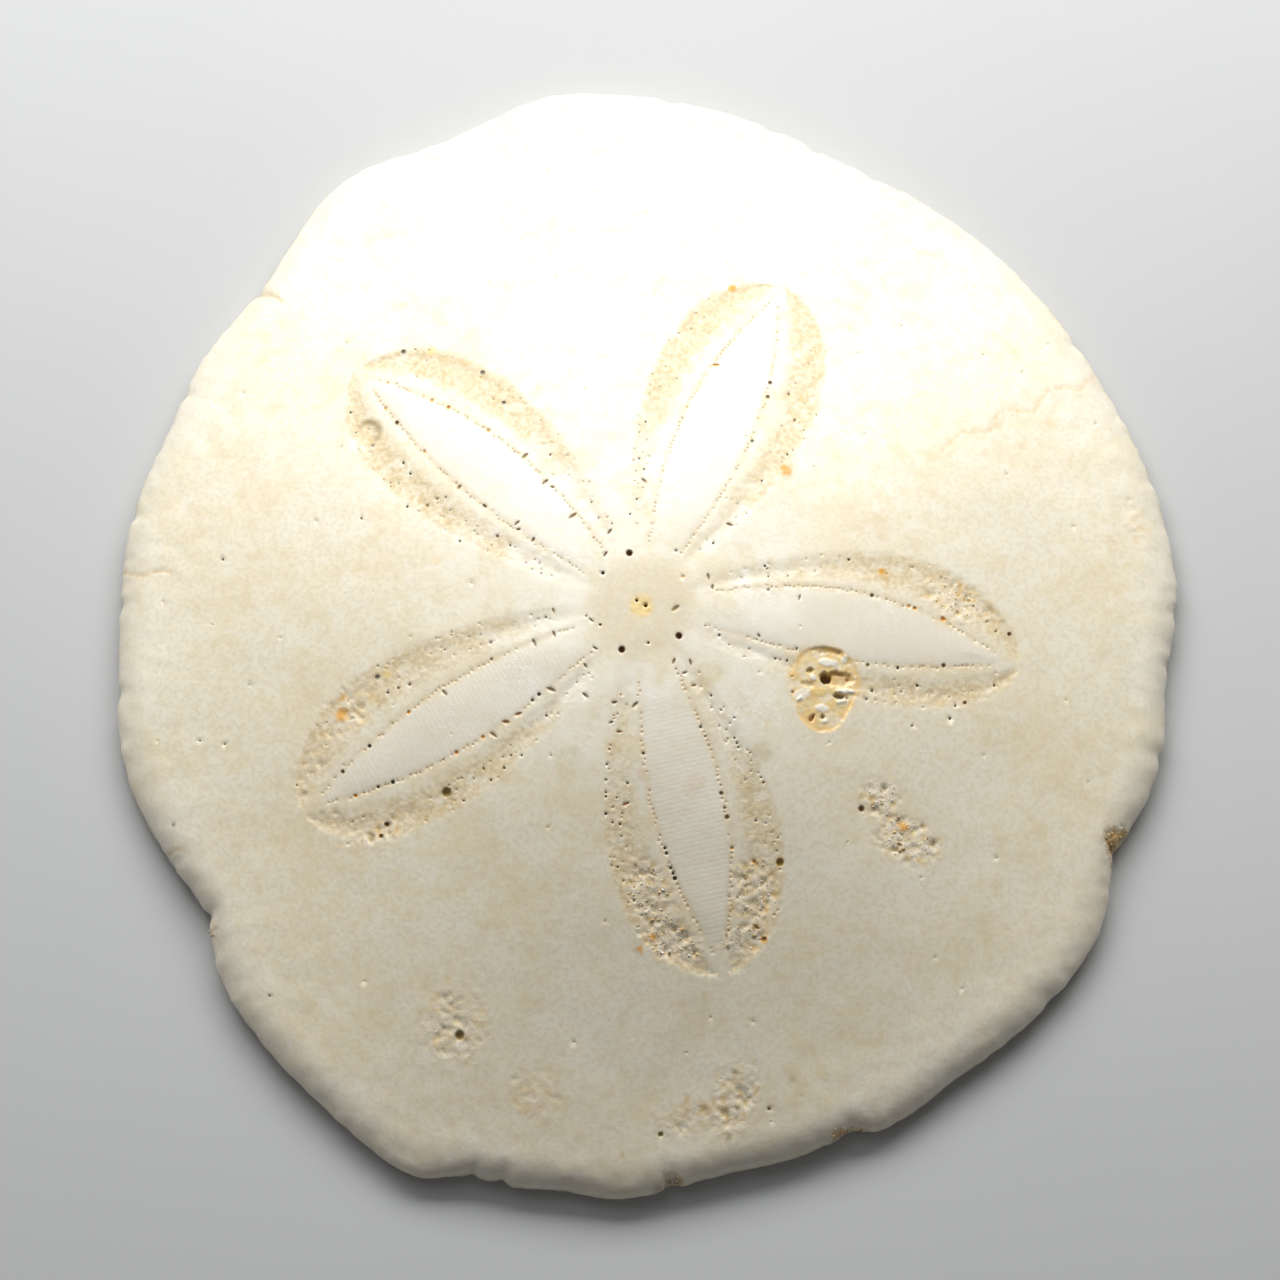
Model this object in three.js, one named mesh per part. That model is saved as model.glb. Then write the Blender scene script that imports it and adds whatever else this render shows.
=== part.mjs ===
// A sand dollar: the hard test of a flat sea urchin, with a flower of five petals on its back.
//
// Millimetres, +Z up. The test lies on its flat under side, where the mouth is. The origin is
// the middle of the bounding box, on the surface that the test lies on, and +Y runs along the
// longest extent. Every feature is first placed about the apex, the top of the dome, and the
// finished body is then moved to the origin.

import * as THREE from 'three';

// ---- Driving dimensions -------------------------------------------------------------------

const DOME_TOP = 19.5;          // height of the apex above the surface it lies on
const DOME_BELL_SHARE = 0.5;    // how much of the dome is bell shaped; the rest is a parabola
const RIM_EQUATOR = 1.9;        // height of the widest line of the rim
const RIM_SHOULDER = 4.0;       // height at which the dome would meet the edge without rounding
const RIM_ROUND_TOP = 3.2;      // how far in the rounding of the upper edge reaches
const RIM_ROUND_UNDER = 2.2;    // the same on the under side

const UNDER_FLAT_INNER = 52;    // radius at which the flat resting ring ends
const UNDER_HOLLOW = 2.4;       // how far the under side rises towards the mouth
const MOUTH_RADIUS = 4.0;
const MOUTH_DEPTH = 3.2;
const GROOVE_START = 5;         // the five food grooves run out from the mouth
const GROOVE_END = 50;
const GROOVE_HALF_WIDTH = 1.6;
const GROOVE_DEPTH = 0.7;
const VENT = { angle: 249, radius: 46, size: 2.6, depth: 1.4 };   // opposite the front petal

// The edge, as angle in degrees and distance from the apex. It bulges in blunt lobes.
const OUTLINE = [
  [0, 66.3], [5, 67.2], [15, 67.4], [29, 67.0], [38, 67.4], [54, 67.8], [64, 67.8], [70, 68.1],
  [76, 69.6], [86, 71.1], [96, 72.7], [100, 72.8], [106, 71.2], [113, 70.2], [119, 71.3],
  [124, 70.8], [130, 68.6], [136, 66.5], [148, 66.2], [156, 65.3], [166, 65.7], [181, 65.0],
  [192, 65.8], [199, 65.5], [206, 64.3], [213, 63.6], [217, 65.4], [220, 66.9], [226, 68.2],
  [235, 69.8], [244, 71.8], [248, 72.3], [252, 70.3], [258, 69.9], [262, 69.3], [267, 69.8],
  [272, 69.0], [278, 67.5], [285, 67.4], [291, 67.0], [296, 67.9], [305, 67.1], [317, 67.7],
  [326, 67.4], [330, 66.3], [334, 64.7], [338, 64.9], [342, 65.8], [348, 66.1], [354, 65.6],
];

// Each petal is a closed leaf shape. Its two outer bands carry the pores and lie a little
// sunk; its core between them is smooth and stands a little proud. Left and right are seen
// from the apex looking out.
const PETALS = [
  { angle: 68.0, length: 47.0, left: 10.6, right: 10.6, coreLeft: 4.5, coreRight: 4.3 },
  { angle: 137.0, length: 48.3, left: 9.4, right: 10.8, coreLeft: 3.4, coreRight: 4.4 },
  { angle: 209.5, length: 47.3, left: 10.0, right: 10.8, coreLeft: 4.1, coreRight: 3.7 },
  { angle: 283.0, length: 44.8, left: 10.6, right: 10.8, coreLeft: 4.5, coreRight: 4.1 },
  { angle: 354.0, length: 46.7, left: 11.0, right: 7.9, coreLeft: 5.4, coreRight: 3.2 },
];
const PETAL_SWELL = { skew: 1.66, power: 0.46 };   // widest about two thirds of the way out
const CORE_SWELL = { skew: 1.15, power: 0.88 };    // widest a little past the middle
const CORE_LENGTH = 0.97;       // the core closes just before the petal's tip
const PETAL_START = 5;          // the petals' relief grows from nothing at this radius
const PETAL_FULL = 12;          // and is whole from this one outwards
const BAND_DEPTH = 0.45;
const CORE_RISE = 0.25;

// An old encrusted boring beside the right-hand petal: two lobes that run into each other.
const SCAR_DEPTH = 0.9;
const SCAR_LOBES = [
  { x: 22.3, y: -8.5, radius: 4.3 },
  { x: 21.9, y: -11.8, radius: 3.1 },
];

const SEGMENTS = 120;           // steps round the body, 3 degrees each

// Rings of vertices as shares of the way from the apex to the edge. They are closest where
// the petals, the shoulder and the rounded rim need them.
const UPPER_RINGS = [
  0, 0.05, 0.09, 0.13, 0.17, 0.21, 0.25, 0.29, 0.33, 0.37, 0.41, 0.45, 0.49, 0.53, 0.57,
  0.61, 0.65, 0.69, 0.73, 0.8, 0.88, 0.94, 0.965, 0.985, 0.996,
];
const UNDER_RINGS = [
  0.996, 0.982, 0.955, 0.86, 0.77, 0.71, 0.67, 0.63, 0.52, 0.42, 0.3, 0.2, 0.12, 0.075, 0.04, 0,
];

// ---- Small helpers ------------------------------------------------------------------------

const { clamp, degToRad, lerp, smoothstep } = THREE.MathUtils;

// A round hump that is 1 at distance 0 and runs out smoothly to 0 at the given reach.
function hump(distance, reach) {
  return 1 - smoothstep(Math.abs(distance), 0, reach);
}

// A smooth closed curve through the points of OUTLINE (Catmull-Rom in one variable).
function edgeRadius(angle) {
  const count = OUTLINE.length;
  let i = OUTLINE.findLastIndex(([start]) => start <= angle);
  if (i < 0) i = count - 1;
  const pick = (step) => {
    const turns = Math.floor((i + step) / count);
    const [pointAngle, radius] = OUTLINE[(i + step + count) % count];
    return { angle: pointAngle + 360 * turns, radius };
  };
  const [before, start, end, after] = [pick(-1), pick(0), pick(1), pick(2)];
  const span = end.angle - start.angle;
  const t = (angle - start.angle) / span;
  const slopeIn = (end.radius - before.radius) / (end.angle - before.angle) * span;
  const slopeOut = (after.radius - start.radius) / (after.angle - start.angle) * span;
  const [t2, t3] = [t * t, t * t * t];
  return (2 * t3 - 3 * t2 + 1) * start.radius + (t3 - 2 * t2 + t) * slopeIn
    + (3 * t2 - 2 * t3) * end.radius + (t3 - t2) * slopeOut;
}

// ---- Shape of the test --------------------------------------------------------------------

function domeHeight(share) {
  const parabola = 1 - share * share;
  const bell = 0.5 + 0.5 * Math.cos(Math.PI * share);
  return lerp(RIM_SHOULDER, DOME_TOP, lerp(parabola, bell, DOME_BELL_SHARE));
}

// The quarter-ellipse rounding of the rim: 0 at the edge, 1 where the rounding ends.
function rimRounding(inset, reach) {
  const out = 1 - clamp(inset / reach, 0, 1);
  return Math.sqrt(1 - out * out);
}

// Half width of a leaf shape, as a share of its widest, at a share t of its length.
function swell(t, { skew, power }) {
  if (t <= 0 || t >= 1) return 0;
  return Math.sin(Math.PI * t ** skew) ** power;
}

// How far one petal lifts or sinks the surface at a point.
function petalRelief(petal, x, y) {
  const angle = degToRad(petal.angle);
  const along = x * Math.cos(angle) + y * Math.sin(angle);
  const across = y * Math.cos(angle) - x * Math.sin(angle);
  const isLeft = across > 0;
  const outer = swell(along / petal.length, PETAL_SWELL) * (isLeft ? petal.left : petal.right);
  const core = swell(along / (petal.length * CORE_LENGTH), CORE_SWELL)
    * (isLeft ? petal.coreLeft : petal.coreRight);
  const distance = Math.abs(across);
  const strength = smoothstep(along, PETAL_START, PETAL_FULL);
  if (distance >= outer) return 0;
  if (distance < core) return strength * CORE_RISE * (1 - (distance / core) ** 2);
  const acrossBand = (distance - core) / (outer - core);
  return -strength * BAND_DEPTH * Math.sin(Math.PI * acrossBand);
}

function scarRelief(x, y) {
  let depth = 0;
  for (const lobe of SCAR_LOBES) {
    const distance = Math.hypot(x - lobe.x, y - lobe.y);
    depth = Math.max(depth, SCAR_DEPTH * hump(distance, lobe.radius * 1.3));
  }
  return -depth;
}

function upperHeight(share, angle, radius) {
  const [x, y] = [share * radius * Math.cos(angle), share * radius * Math.sin(angle)];
  let height = domeHeight(share) + scarRelief(x, y);
  for (const petal of PETALS) height += petalRelief(petal, x, y);
  const rounding = rimRounding((1 - share) * radius, RIM_ROUND_TOP);
  return lerp(RIM_EQUATOR, height, rounding);
}

function grooveRelief(x, y) {
  let depth = 0;
  for (const petal of PETALS) {
    const angle = degToRad(petal.angle);
    const along = x * Math.cos(angle) + y * Math.sin(angle);
    const across = y * Math.cos(angle) - x * Math.sin(angle);
    if (along < GROOVE_START || along > GROOVE_END) continue;
    depth = Math.max(depth, GROOVE_DEPTH * hump(across, GROOVE_HALF_WIDTH));
  }
  return depth;
}

function underHeight(share, angle, radius) {
  const [x, y] = [share * radius * Math.cos(angle), share * radius * Math.sin(angle)];
  const inset = (1 - share) * radius;
  const fromAxis = share * radius;
  if (fromAxis > UNDER_FLAT_INNER) {
    return RIM_EQUATOR * (1 - rimRounding(inset, RIM_ROUND_UNDER));
  }
  const vent = degToRad(VENT.angle);
  const toVent = Math.hypot(x - VENT.radius * Math.cos(vent), y - VENT.radius * Math.sin(vent));
  return UNDER_HOLLOW * hump(fromAxis, UNDER_FLAT_INNER)
    + MOUTH_DEPTH * hump(fromAxis, MOUTH_RADIUS * 1.4)
    + VENT.depth * hump(toVent, VENT.size * 1.4)
    + grooveRelief(x, y);
}

// ---- The body -----------------------------------------------------------------------------

// A flat coin of unit radius from a lathe: its height is only +1, 0 or -1, to tell the upper
// face, the edge and the under face apart. Every vertex is then put on the real surface.
function unitCoin() {
  const profile = [
    ...UNDER_RINGS.toReversed().map((share) => new THREE.Vector2(share, -1)),
    new THREE.Vector2(1, 0),
    ...UPPER_RINGS.toReversed().map((share) => new THREE.Vector2(share, 1)),
  ];
  return new THREE.LatheGeometry(profile, SEGMENTS).rotateX(Math.PI / 2);
}

function testGeometry() {
  const geometry = unitCoin();
  const position = geometry.getAttribute('position');
  for (let i = 0; i < position.count; i += 1) {
    const [x, y, face] = [position.getX(i), position.getY(i), position.getZ(i)];
    const share = Math.min(Math.hypot(x, y), 1);
    const angle = Math.atan2(y, x);
    const degrees = (THREE.MathUtils.radToDeg(angle) + 360) % 360;
    const radius = edgeRadius(degrees);
    let height = RIM_EQUATOR;
    if (face > 0.5) height = upperHeight(share, angle, radius);
    if (face < -0.5) height = underHeight(share, angle, radius);
    position.setXYZ(i, share * radius * Math.cos(angle), share * radius * Math.sin(angle), height);
  }
  geometry.computeBoundingBox();
  const middle = geometry.boundingBox.getCenter(new THREE.Vector3());
  geometry.translate(-middle.x, -middle.y, -geometry.boundingBox.min.z);
  geometry.computeVertexNormals();
  return geometry;
}

const calcite = new THREE.MeshStandardMaterial({
  color: new THREE.Color('#ebe3d0'),
  roughness: 0.4,
  metalness: 0,
});

const shell = new THREE.Mesh(testGeometry(), calcite);
shell.name = 'shell';

const sandDollar = new THREE.Group();
sandDollar.name = 'sand_dollar';
sandDollar.add(shell);

export default sandDollar;
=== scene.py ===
# Looks of the sand dollar: a worn, polished test of calcite that lies on its under side.
#
# The whole outer skin is one fine mesh. Its points are laid out flat on two discs, one for the
# back and one for the under side, that share the line of the rim. They are closest where the
# detail is finest, are joined by a Delaunay triangulation, and are then lifted on to the dome
# and pushed in or out by the relief: petals, pores, slits, pits, a scar, cracks and chips.
# All lengths in this script are millimetres about the apex, until they become Blender's metres.

import math
from typing import NamedTuple

import bpy
import numpy as np
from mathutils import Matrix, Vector, noise
from mathutils.geometry import delaunay_2d_cdt


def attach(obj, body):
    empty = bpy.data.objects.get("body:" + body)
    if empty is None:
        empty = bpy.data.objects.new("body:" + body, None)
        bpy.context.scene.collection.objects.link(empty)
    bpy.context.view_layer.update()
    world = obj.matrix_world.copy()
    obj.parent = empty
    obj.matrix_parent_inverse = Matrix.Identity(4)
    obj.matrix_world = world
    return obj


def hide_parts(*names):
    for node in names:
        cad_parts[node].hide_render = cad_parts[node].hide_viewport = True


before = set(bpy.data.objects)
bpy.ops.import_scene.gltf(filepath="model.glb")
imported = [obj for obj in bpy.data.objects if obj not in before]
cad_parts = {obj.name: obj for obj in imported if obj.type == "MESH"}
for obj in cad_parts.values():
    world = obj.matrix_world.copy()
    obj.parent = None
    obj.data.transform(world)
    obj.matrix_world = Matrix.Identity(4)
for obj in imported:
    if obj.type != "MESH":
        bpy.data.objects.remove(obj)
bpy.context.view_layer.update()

MM = 0.001
SEED = 7

# ---- Shape of the test ----
# As in the CAD, but the rounding of the rim reaches further in and sets in more softly, and
# the food grooves are narrower.

RIM_EQUATOR = 1.9          # height of the widest line of the rim
RIM_SHOULDER = 4.0         # height at which the dome would meet the edge without rounding
RIM_ROUND_TOP = 4.2        # how far in the rounding reaches on the back
RIM_ROUND_UNDER = 2.4      # and on the under side
RIM_ARC_TOP = 5.2          # length of that rounding, measured along the surface
RIM_ARC_UNDER = 3.5
RIM_BLEND = 2.6            # above 2, the rounding sets in more softly than an ellipse
DOME_BELL_SHARE = 0.5

UNDER_FLAT_INNER = 52.0
UNDER_HOLLOW = 2.4
MOUTH_RADIUS = 4.0
MOUTH_DEPTH = 3.2
GROOVE_START, GROOVE_END = 5.0, 50.0
GROOVE_HALF_WIDTH = 1.2
GROOVE_DEPTH = 0.7
VENT_ANGLE, VENT_RADIUS, VENT_SIZE, VENT_DEPTH = 249.0, 46.0, 2.6, 1.4


class Petal(NamedTuple):
    """A closed leaf shape. Left and right are seen from the apex looking out."""
    angle: float
    length: float
    left: float
    right: float
    core_left: float
    core_right: float


PETALS = (
    Petal(68.0, 47.0, 10.6, 10.6, 4.5, 4.3),
    Petal(137.0, 48.3, 9.4, 10.8, 3.4, 4.4),
    Petal(209.5, 47.3, 10.0, 10.8, 4.1, 3.7),
    Petal(283.0, 44.8, 10.6, 10.8, 4.5, 4.1),
    Petal(354.0, 46.7, 11.0, 7.9, 5.4, 3.2),
)
PETAL_SKEW, PETAL_POWER = 1.66, 0.46
CORE_SKEW, CORE_POWER = 1.15, 0.88
CORE_LENGTH = 0.97
PETAL_START, PETAL_FULL = 5.0, 12.0

# ---- Spacing of the mesh points ----

STEP_BACK = 0.78
STEP_PETAL = 0.36
STEP_SCAR = 0.18
STEP_EDGE = 0.58
EDGE_WIDTH = 7.0           # how far in from the rim that closer spacing reaches
STEP_UNDER = 1.6
STEP_MOUTH = 0.4
STEP_GROOVE = 0.6
STEP_RIM = 0.45
EDGE_ROW_OFFSETS = (-0.16, 0.16)      # extra rows on both sides of a petal's edge
EDGE_ROW_POINTS = 190
POINT_GAP = 0.05           # points closer than this are thinned out
GRID_HALF = 78             # half size of the grids that cover the whole test,
UNDER_GRID_HALF = 60       # of those at the mouth and the grooves,
SCAR_GRID_HALF = 30        # and of the one at the scar
MOUTH_ZONE = 7.5           # radius of the closer points at the mouth
VENT_ZONE = 1.7            # and at the vent, as a share of its size
GROOVE_ZONE = 1.5          # half width of the closer points along a groove
SCAR_ZONE = 1.12           # share of the scar up to which its own grid reaches
SCAR_CLEAR = 1.15          # and from which the other grids begin

# ---- Colours, as they look in daylight (0 to 255) ----


def tone(red, green, blue):
    """Turns a screen colour into Blender's linear one."""
    def linear(value):
        value /= 255
        return value / 12.92 if value < 0.04045 else ((value + 0.055) / 1.055) ** 2.4
    return linear(red), linear(green), linear(blue)


BAND_GREY = tone(222, 210, 184)
RIM_HIGHLIGHT = tone(240, 236, 226)
INK = tone(80, 76, 68)
BROWN = tone(112, 76, 32)
UMBER = tone(132, 102, 52)
RUST = tone(172, 116, 58)
ORANGE = tone(230, 162, 28)
YELLOW = tone(240, 212, 142)
OCHRE = tone(212, 170, 100)
TAN = tone(224, 194, 142)
OLIVE = tone(150, 128, 62)
SLATE = tone(150, 150, 146)
KHAKI = tone(202, 186, 148)
BLUSH = tone(216, 170, 128)
GOLD = tone(240, 202, 134)
SCAR_CREAM = tone(240, 215, 164)
CHALK = tone(248, 244, 232)


# ---- Small helpers ----


def smooth(low, high, x):
    """0 below low, 1 above high, and a smooth step between them."""
    t = np.clip((np.asarray(x) - low) / (high - low), 0, 1)
    return t * t * (3 - 2 * t)


def bump(x, width):
    """A bell that is 1 at x = 0 and has fallen to about a third at the given width."""
    return np.exp(-(np.asarray(x) / width) ** 2)


def field(x, y, size, seed, octaves=3):
    """Soft random hills between about -1 and 1, with hills about `size` across."""
    points = np.stack([x, y], 1) / size
    values = [noise.fractal((a, b, seed * 7.3), 1.0, 2.0, octaves) for a, b in points]
    return np.array(values)


def facets(x, y, size, seed):
    """Broken crystal faces: each cell of a random mosaic is a small tilted plane."""
    height = np.empty(len(x))
    for i, (a, b) in enumerate(zip(x / size, y / size)):
        _, cells = noise.voronoi((a, b, seed * 3.1))
        cell = cells[0]
        tilt = noise.noise_vector(cell * 9.7)
        height[i] = 0.6 * tilt.z + 1.3 * (tilt.x * (a - cell.x) + tilt.y * (b - cell.y))
    return height


def crests(x, y, size, seed):
    """Thin winding ridges about `size` apart: 1 on the crest, 0 between."""
    points = np.stack([x, y], 1) / size
    values = [noise.noise((a, b, seed * 5.7)) for a, b in points]
    return np.clip(1 - 3.2 * np.abs(values), 0, 1)


def swell(t, skew, power):
    """Half width of a leaf shape, as a share of its widest, at a share t of its length."""
    t = np.clip(t, 0, 1)
    return np.abs(np.sin(math.pi * t ** skew)) ** power


# ---- Outline, read from the CAD ----


def cad_points():
    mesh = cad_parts["shell"].data
    flat = np.empty(len(mesh.vertices) * 3)
    mesh.vertices.foreach_get("co", flat)
    return flat.reshape(-1, 3) / MM


def rim_radii(points, apex):
    """Distance from the apex to the rim, at even steps of angle from 0 upwards."""
    away = points[:, :2] - apex[:2]
    reach = np.hypot(away[:, 0], away[:, 1])
    is_rim = (np.abs(points[:, 2] - RIM_EQUATOR) < 0.01) & (reach > UNDER_FLAT_INNER)
    degrees = np.degrees(np.arctan2(away[is_rim, 1], away[is_rim, 0])) % 360
    by_angle = dict(zip(np.round(degrees, 2) % 360, reach[is_rim]))
    return np.array([by_angle[angle] for angle in sorted(by_angle)])


def spread_out(values, reach):
    """A closed row of values, each the mean of its neighbours up to `reach` steps away."""
    return sum(np.roll(values, step) for step in range(-reach, reach + 1)) / (2 * reach + 1)


CAD_POINTS = cad_points()
APEX = CAD_POINTS[CAD_POINTS[:, 2].argmax()]
RIM_RADII = rim_radii(CAD_POINTS, APEX)
SOFT_RADII = spread_out(spread_out(RIM_RADII, 4), 4)
NEAR_RADII = spread_out(RIM_RADII, 2)

# Small bites out of the rim: angle and half width in degrees, and depth.
NIBBLES = (
    (3, 1.4, 0.35), (357, 1.6, 0.4), (347, 1.2, 0.35), (318, 1.8, 0.3), (292.5, 2.6, 0.8),
    (273, 1.6, 0.7), (256, 1.1, 0.5), (253, 0.9, 0.4), (213.5, 1.2, 0.5), (335, 1.3, 0.6),
    (186, 1.6, 0.4), (176, 1.2, 0.35), (166, 1.0, 0.3), (151, 1.3, 0.35), (137, 1.2, 0.45),
    (87, 1.3, 0.35), (76, 1.5, 0.5), (71, 1.1, 0.5), (64, 1.4, 0.35), (35, 1.2, 0.3),
)
RIM_WEAR = 0.16            # height of the fine unevenness of the rim


def along_curve(radii, angle):
    """A smooth closed curve through evenly spaced radii (Catmull-Rom)."""
    count = len(radii)
    place = (np.asarray(angle) / (2 * math.pi) * count) % count
    i = np.floor(place).astype(int)
    t = place - i
    a, b, c, d = (radii[(i + step) % count] for step in (-1, 0, 1, 2))
    return 0.5 * (2 * b + (c - a) * t + (2 * a - 5 * b + 4 * c - d) * t ** 2
                  + (3 * b - a - 3 * c + d) * t ** 3)


def edge_radius(angle):
    """The rim of the CAD, less the small bites."""
    radius = along_curve(RIM_RADII, angle)
    degrees = np.degrees(angle)
    for centre, half_width, depth in NIBBLES:
        apart = np.abs((degrees - centre + 180) % 360 - 180)
        radius = radius - depth * (1 - smooth(0, half_width, apart))
    x, y = 30 * np.cos(angle), 30 * np.sin(angle)
    return radius + RIM_WEAR * field(x, y, 1.1, 11)


# ---- Marks on the back ----


class Pore(NamedTuple):
    """A hole or slit: an ellipse, `length` longer than wide, turned by `turn` degrees."""
    x: float
    y: float
    radius: float
    length: float
    turn: float
    depth: float
    colour: tuple
    strength: float


def hole(x, y, radius, colour=INK, depth=None, strength=1.0):
    return Pore(x, y, radius, 0.0, 0.0, depth or radius * 1.5, colour, strength)


def slit(x, y, length, turn, radius=0.15, colour=UMBER):
    return Pore(x, y, radius, length - 2 * radius, turn, 0.2, colour, 0.8)


# The four openings round the middle of the petals, and the small ones at the petals' feet.
APICAL_PORES = (
    hole(-1.4, 6.7, 0.39, BROWN, 0.6), hole(4.6, -3.7, 0.39, BROWN, 0.6),
    hole(-2.3, -5.4, 0.39, BROWN, 0.6), hole(5.1, 3.7, 0.2, ORANGE, 0.2, 0.6),
    hole(-4.6, 4.2, 0.19, INK, 0.8), hole(-4.9, -2.3, 0.16, BROWN), hole(0.9, -4.6, 0.15, BROWN),
    hole(-6.6, -1.2, 0.11, SLATE), slit(4.2, -0.3, 1.15, 40, 0.24, OLIVE),
    hole(-0.5, 0.7, 0.17, BROWN, 0.8), hole(0.6, 0.1, 0.2, BROWN, 0.9),
)

SLITS = tuple(slit(*values) for values in (
    (8.2, 3.8, 0.9, -76), (8.7, 2.5, 0.65, 88), (4.0, -6.8, 0.8, 72),
    (6.0, -6.9, 0.85, -78), (5.3, -8.2, 0.65, 22, 0.12), (-4.3, 6.6, 0.8, 58),
    (-3.8, 9.5, 0.85, 52), (-6.0, -1.7, 0.8, -40, 0.11), (-5.5, -5.2, 0.75, -30, 0.11),
    (-6.7, -7.3, 0.7, -55, 0.13), (-6.7, -10.9, 0.95, -40), (-3.2, -11.8, 0.7, 10),
    (-0.7, -12.1, 1.0, 45, 0.17), (-2.6, -15.3, 0.75, 2, 0.13, RUST),
    (-3.6, -14.2, 0.55, 20, 0.11), (-1.8, -23.8, 0.95, 22, 0.15, RUST),
    (6.4, -9.7, 0.6, 10, 0.12, RUST), (-12.9, -4.3, 1.05, -66, 0.17),
    (-10.5, -3.3, 0.8, -72, 0.14), (-10.6, -0.4, 0.7, -72, 0.13),
    (-23.8, -9.9, 0.9, -48, 0.17), (-10.8, -10.1, 1.2, -24, 0.19),
    (-14.8, -12.9, 0.9, 14, 0.15, RUST), (-16.3, -13.8, 0.95, -8, 0.2, RUST),
    (-17.8, -15.3, 1.05, -38, 0.15), (-19.0, -19.3, 0.55, -80, 0.13, OLIVE),
    (-8.3, 11.6, 1.15, 35, 0.17), (-10.8, 15.5, 0.55, -10, 0.13),
    (-11.7, 16.2, 0.95, 40, 0.18), (-14.2, 19.8, 1.0, 42, 0.18, OLIVE),
    (-13.1, 8.7, 0.65, 55, 0.16), (-14.9, 10.1, 0.5, 0, 0.13),
    (-15.1, 10.9, 0.85, 42, 0.16), (-19.1, 13.4, 0.65, -40, 0.18),
    (-22.3, 16.1, 0.7, 48, 0.17, OLIVE), (0.4, 16.2, 0.9, -40, 0.13),
    (10.8, 10.6, 0.9, -20, 0.15), (14.3, -3.4, 0.65, -60, 0.13),
    (18.9, -4.8, 0.45, 70, 0.13), (9.3, 32.2, 0.9, 0, 0.16, ORANGE),
    (19.3, 1.6, 0.75, 78, 0.12),
))

# Pores and pits that stand out one by one from the rows of fine ones.
DARK_PORES = (
    (8.8, 8.1, 0.18), (9.5, -3.5, 0.18), (0.3, -17.9, 0.2), (7.2, -14.7, 0.2), (2.9, -29.0, 0.2),
    (3.1, -29.6, 0.22), (3.6, -31.3, 0.22), (3.9, -31.9, 0.23), (4.1, -32.5, 0.28),
    (-4.2, -25.0, 0.2), (-3.4, -26.0, 0.15), (-2.5, -26.2, 0.15), (-3.8, -17.4, 0.13),
    (-4.1, -19.2, 0.15), (-1.6, -21.4, 0.16), (-4.2, -22.5, 0.13), (-4.2, -23.0, 0.15),
    (-2.9, -23.1, 0.13), (-2.8, -31.2, 0.15), (14.5, -20.5, 0.13), (13.9, -25.6, 0.16),
    (11.3, -13.5, 0.14), (8.5, -10.9, 0.14), (9.7, -12.6, 0.13), (11.3, -15.9, 0.15),
    (11.6, -16.5, 0.15), (11.8, -17.0, 0.14), (-12.3, -10.6, 0.25), (-13.1, -11.3, 0.22),
    (-30.1, -20.3, 0.28), (-31.9, -20.8, 0.2), (-33.0, -15.8, 0.26),
    (-11.4, -13.2, 0.18), (-15.7, -17.8, 0.15), (-14.4, -17.9, 0.15), (-16.5, -19.3, 0.18),
    (-18.1, -20.7, 0.16), (-21.4, -23.0, 0.14), (-29.5, -8.9, 0.17), (-30.8, -9.4, 0.17),
    (-23.8, -4.6, 0.12), (-11.5, -1.2, 0.14), (-42.0, -20.0, 0.13), (-28.4, 18.4, 0.17),
    (-29.3, 19.9, 0.19), (-28.7, 14.0, 0.17), (-25.0, 14.8, 0.14), (-23.9, 14.9, 0.14),
    (-22.1, 9.0, 0.16), (-15.9, 8.1, 0.13), (-36.1, 27.3, 0.16), (-11.1, 19.8, 0.13),
    (-0.5, 13.7, 0.14), (-0.2, 19.1, 0.14), (0.4, 17.7, 0.14), (0.6, 24.1, 0.15),
    (-1.3, 11.7, 0.13), (14.8, 16.5, 0.14), (18.0, 20.2, 0.14), (16.3, -6.1, 0.15),
    (17.7, -6.3, 0.15), (31.3, -6.4, 0.22), (28.1, -9.4, 0.2), (33.7, -8.4, 0.2),
    (37.7, -12.2, 0.2), (38.4, -10.6, 0.18), (43.3, -7.7, 0.16), (25.4, 6.8, 0.18),
    (33.0, -13.4, 0.13), (-51.8, 9.0, 0.16), (-54.2, -13.8, 0.12),
    (-51.1, -14.4, 0.12), (-57.6, -23.9, 0.16), (-45.2, -45.3, 0.14), (-34.4, 12.9, 0.16),
    (15.1, 5.4, 0.17), (15.5, 4.1, 0.12), (17.9, 4.3, 0.12),
)
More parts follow.
